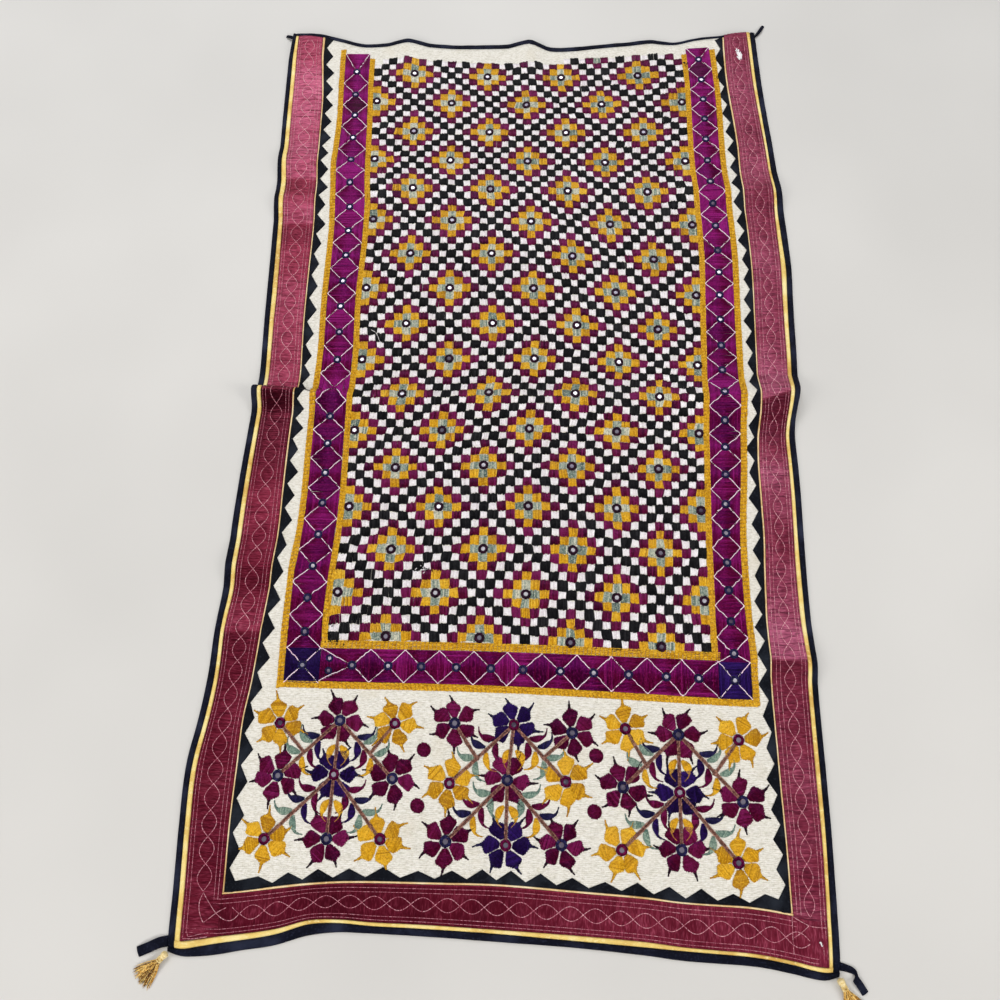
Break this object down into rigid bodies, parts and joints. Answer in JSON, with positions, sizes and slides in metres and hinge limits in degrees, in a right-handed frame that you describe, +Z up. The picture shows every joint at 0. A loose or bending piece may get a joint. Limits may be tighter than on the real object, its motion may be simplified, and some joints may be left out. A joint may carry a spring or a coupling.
{
  "type": "embroidered wall hanging",
  "caption": "Embroidered cotton wall hanging laid flat, checked field and flower band, sawtooth and quilted satin borders, bound edges, ties and tassels at the corners.",
  "frame": {"origin": "middle of the part's box, on the floor that the cloth lies on", "axes": "+X across the cloth to the right, +Y towards its top edge, +Z up from the floor"},
  "size_m": [0.9989, 1.6887, 0.0274],
  "materials": {
    "cotton": "slubby handloom weave",
    "sawtooth_black": "plain weave",
    "piping_cream": "plain weave",
    "satin": "quilted satin",
    "piping_yellow": "satin weave",
    "binding_navy": "plain weave",
    "tassel_gold": "loose yarn",
    "thread_white": "floss",
    "thread_black": "floss",
    "thread_magenta": "silk floss",
    "thread_purple": "silk floss",
    "thread_marigold": "silk floss",
    "thread_sage": "floss",
    "thread_brown": "floss",
    "mirror_glass": "old silvered glass"
  },
  "bodies": {
    "root": {"ground_panel": "cotton", "sawtooth_left": "sawtooth_black", "sawtooth_right": "sawtooth_black", "sawtooth_bottom": "sawtooth_black", "inner_piping_left": "piping_cream", "inner_piping_right": "piping_cream", "inner_piping_bottom": "piping_cream", "border_left": "satin", "border_right": "satin", "border_bottom": "satin", "outer_piping_left": "piping_yellow", "outer_piping_right": "piping_yellow", "outer_piping_bottom": "piping_yellow", "binding_left": "binding_navy", "binding_right": "binding_navy", "binding_bottom": "binding_navy", "binding_top": "binding_navy", "tie_top_left": "binding_navy", "tie_top_right": "binding_navy", "tie_bottom_left": "binding_navy", "tie_bottom_right": "binding_navy", "tassel_left": "tassel_gold", "tassel_right": "tassel_gold"}
  },
  "joints": []
}
